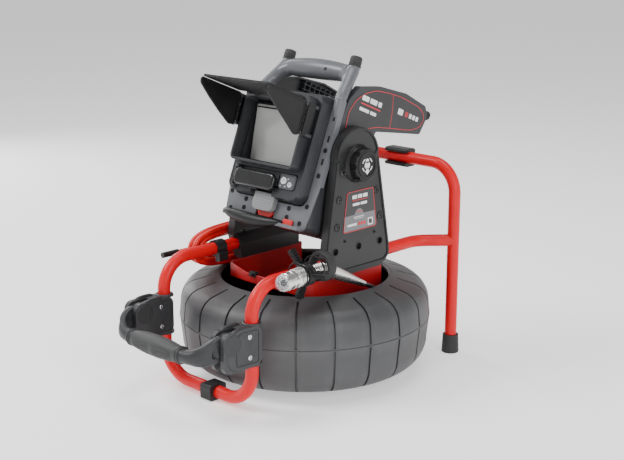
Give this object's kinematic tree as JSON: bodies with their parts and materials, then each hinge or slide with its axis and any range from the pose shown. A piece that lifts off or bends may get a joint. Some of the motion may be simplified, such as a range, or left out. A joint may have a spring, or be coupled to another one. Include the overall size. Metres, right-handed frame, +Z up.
{
  "type": "inspection camera",
  "caption": "Pipe inspection camera on a tube frame: a spinning cable reel, a tilting monitor with folding visor and battery, and a docked camera head on a push cable.",
  "frame": {"origin": "on the floor, in the middle of the footprint", "axes": "-Y is the front, with the screen and the carrying handle; +X is the side with the camera head; +Z is up"},
  "size_m": [0.39, 0.5173, 0.4853],
  "materials": {
    "red_tube": "satin powder coat on steel tube",
    "red_pan": "satin painted sheet steel",
    "foot_rubber": "moulded rubber",
    "black_plastic": "textured glass-filled plastic",
    "dark_screw": "blackened steel",
    "steel": "turned steel",
    "stainless": "bright stainless steel",
    "clear_window": "clear sapphire window",
    "push_cable": "smooth jacketed fibreglass rod",
    "red_cord": "smooth jacketed cable",
    "black_rubber": "moulded rubber",
    "drum_plastic": "fine-textured moulded plastic",
    "grey_casting": "fine-textured light grey moulding",
    "shell_plastic": "fine-textured charcoal moulding",
    "display": "dark bezel and panel",
    "display_glass": "anti-glare glass",
    "white_key": "moulded key"
  },
  "bodies": {
    "frame": {"front_loop_tube": "red_tube", "rail_tubes": "red_tube", "rear_arch_tube": "red_tube", "rear_feet": "foot_rubber", "tube_clips": "black_plastic", "arm_left_inner": "black_plastic", "arm_left_outer": "black_plastic", "arm_right_inner": "black_plastic", "arm_right_outer": "black_plastic", "cap_screws": "dark_screw", "hub_carrier_pan": "red_pan", "hub_axle": "steel", "slip_ring_housing": "black_plastic", "ring_holder": "black_plastic", "camera_head": "stainless", "camera_window": "clear_window", "star_guide": "black_plastic", "camera_spring": "stainless", "push_cable_lead": "push_cable", "cable_hooks": "steel", "hook_caps": "black_plastic", "system_cable_coil": "red_cord", "system_cable_lead": "red_cord", "system_cable_tail": "red_cord", "system_plug": "black_rubber", "cable_fittings": "black_plastic", "clamp_outer_halves": "black_plastic", "clamp_inner_halves": "black_plastic", "handle_pins": "steel"},
    "drum": {"drum_upper_shell": "drum_plastic", "drum_lower_shell": "drum_plastic", "drum_hub": "drum_plastic", "hub_bearing": "steel", "push_cable_coil": "push_cable", "drum_screws": "dark_screw"},
    "front_handle": {"handle_bow": "black_plastic", "handle_grip": "foot_rubber"},
    "monitor": {"carry_frame": "grey_casting", "front_shell": "shell_plastic", "rear_housing": "shell_plastic", "hood_cheeks": "shell_plastic", "battery_bay": "black_plastic", "bumpers": "foot_rubber", "pivot_shafts": "steel", "display_module": "display", "display_glass": "display_glass", "control_panel": "shell_plastic", "hinge_pins": "steel"},
    "visor_top_flap": {"visor_top": "black_plastic"},
    "visor_left_flap": {"visor_left": "black_plastic"},
    "visor_right_flap": {"visor_right": "black_plastic"},
    "door": {"port_door": "black_plastic"},
    "power_button": {"power_key": "white_key"},
    "menu_button": {"menu_key": "white_key"},
    "release_latch": {"latch_tab": "grey_casting", "latch_tongue": "red_pan"},
    "battery": {"battery_pack": "shell_plastic"},
    "knob_left": {"tilt_knob_left": "black_plastic"},
    "knob_right": {"tilt_knob_right": "black_plastic"}
  },
  "joints": [
    {"name": "drum_spin", "type": "hinge", "parent": "frame", "child": "drum", "pos_m": [0, 0.0497, 0.09], "axis": [0, 0, 1], "continuous": true},
    {"name": "handle_fold", "type": "hinge", "parent": "frame", "child": "front_handle", "pos_m": [0, -0.2003, 0.116], "axis": [1, 0, 0], "range_deg": [-90, 0]},
    {"name": "monitor_tilt", "type": "hinge", "parent": "frame", "child": "monitor", "pos_m": [0, 0.0537, 0.332], "axis": [1, 0, 0], "range_deg": [-12, 22]},
    {"name": "visor_top_fold", "type": "hinge", "parent": "monitor", "child": "visor_top_flap", "pos_m": [0, -0.0169, 0.42955], "axis": [1, 0, 0], "range_deg": [0, 90]},
    {"name": "visor_left_fold", "type": "hinge", "parent": "monitor", "child": "visor_left_flap", "pos_m": [-0.0705, -0.01847, 0.4043], "axis": [0, 0.3746, 0.9272], "range_deg": [0, 90]},
    {"name": "visor_right_fold", "type": "hinge", "parent": "monitor", "child": "visor_right_flap", "pos_m": [0.0705, -0.02172, 0.40561], "axis": [0, -0.3746, -0.9272], "range_deg": [0, 90]},
    {"name": "door_swing", "type": "hinge", "parent": "monitor", "child": "door", "pos_m": [-0.057, -0.04063, 0.3054], "axis": [0, -0.3746, -0.9272], "range_deg": [0, 100]},
    {"name": "power_press", "type": "slide", "parent": "monitor", "child": "power_button", "axis": [0, 0.9272, -0.3746], "range_m": [0, 0.0015], "stiffness_N_per_m": 400},
    {"name": "menu_press", "type": "slide", "parent": "monitor", "child": "menu_button", "axis": [0, 0.9272, -0.3746], "range_m": [0, 0.0015], "stiffness_N_per_m": 400},
    {"name": "latch_lift", "type": "slide", "parent": "monitor", "child": "release_latch", "axis": [0, 0.3746, 0.9272], "range_m": [0, 0.005], "stiffness_N_per_m": 300, "springref_m": -0.003},
    {"name": "battery_slide", "type": "slide", "parent": "monitor", "child": "battery", "axis": [0, 0.3746, 0.9272], "range_m": [0, 0.06]},
    {"name": "knob_left_turn", "type": "hinge", "parent": "monitor", "child": "knob_left", "pos_m": [-0.11, 0.0537, 0.332], "axis": [-1, 0, 0], "continuous": true},
    {"name": "knob_right_turn", "type": "hinge", "parent": "monitor", "child": "knob_right", "pos_m": [0.11, 0.0537, 0.332], "axis": [1, 0, 0], "continuous": true}
  ]
}
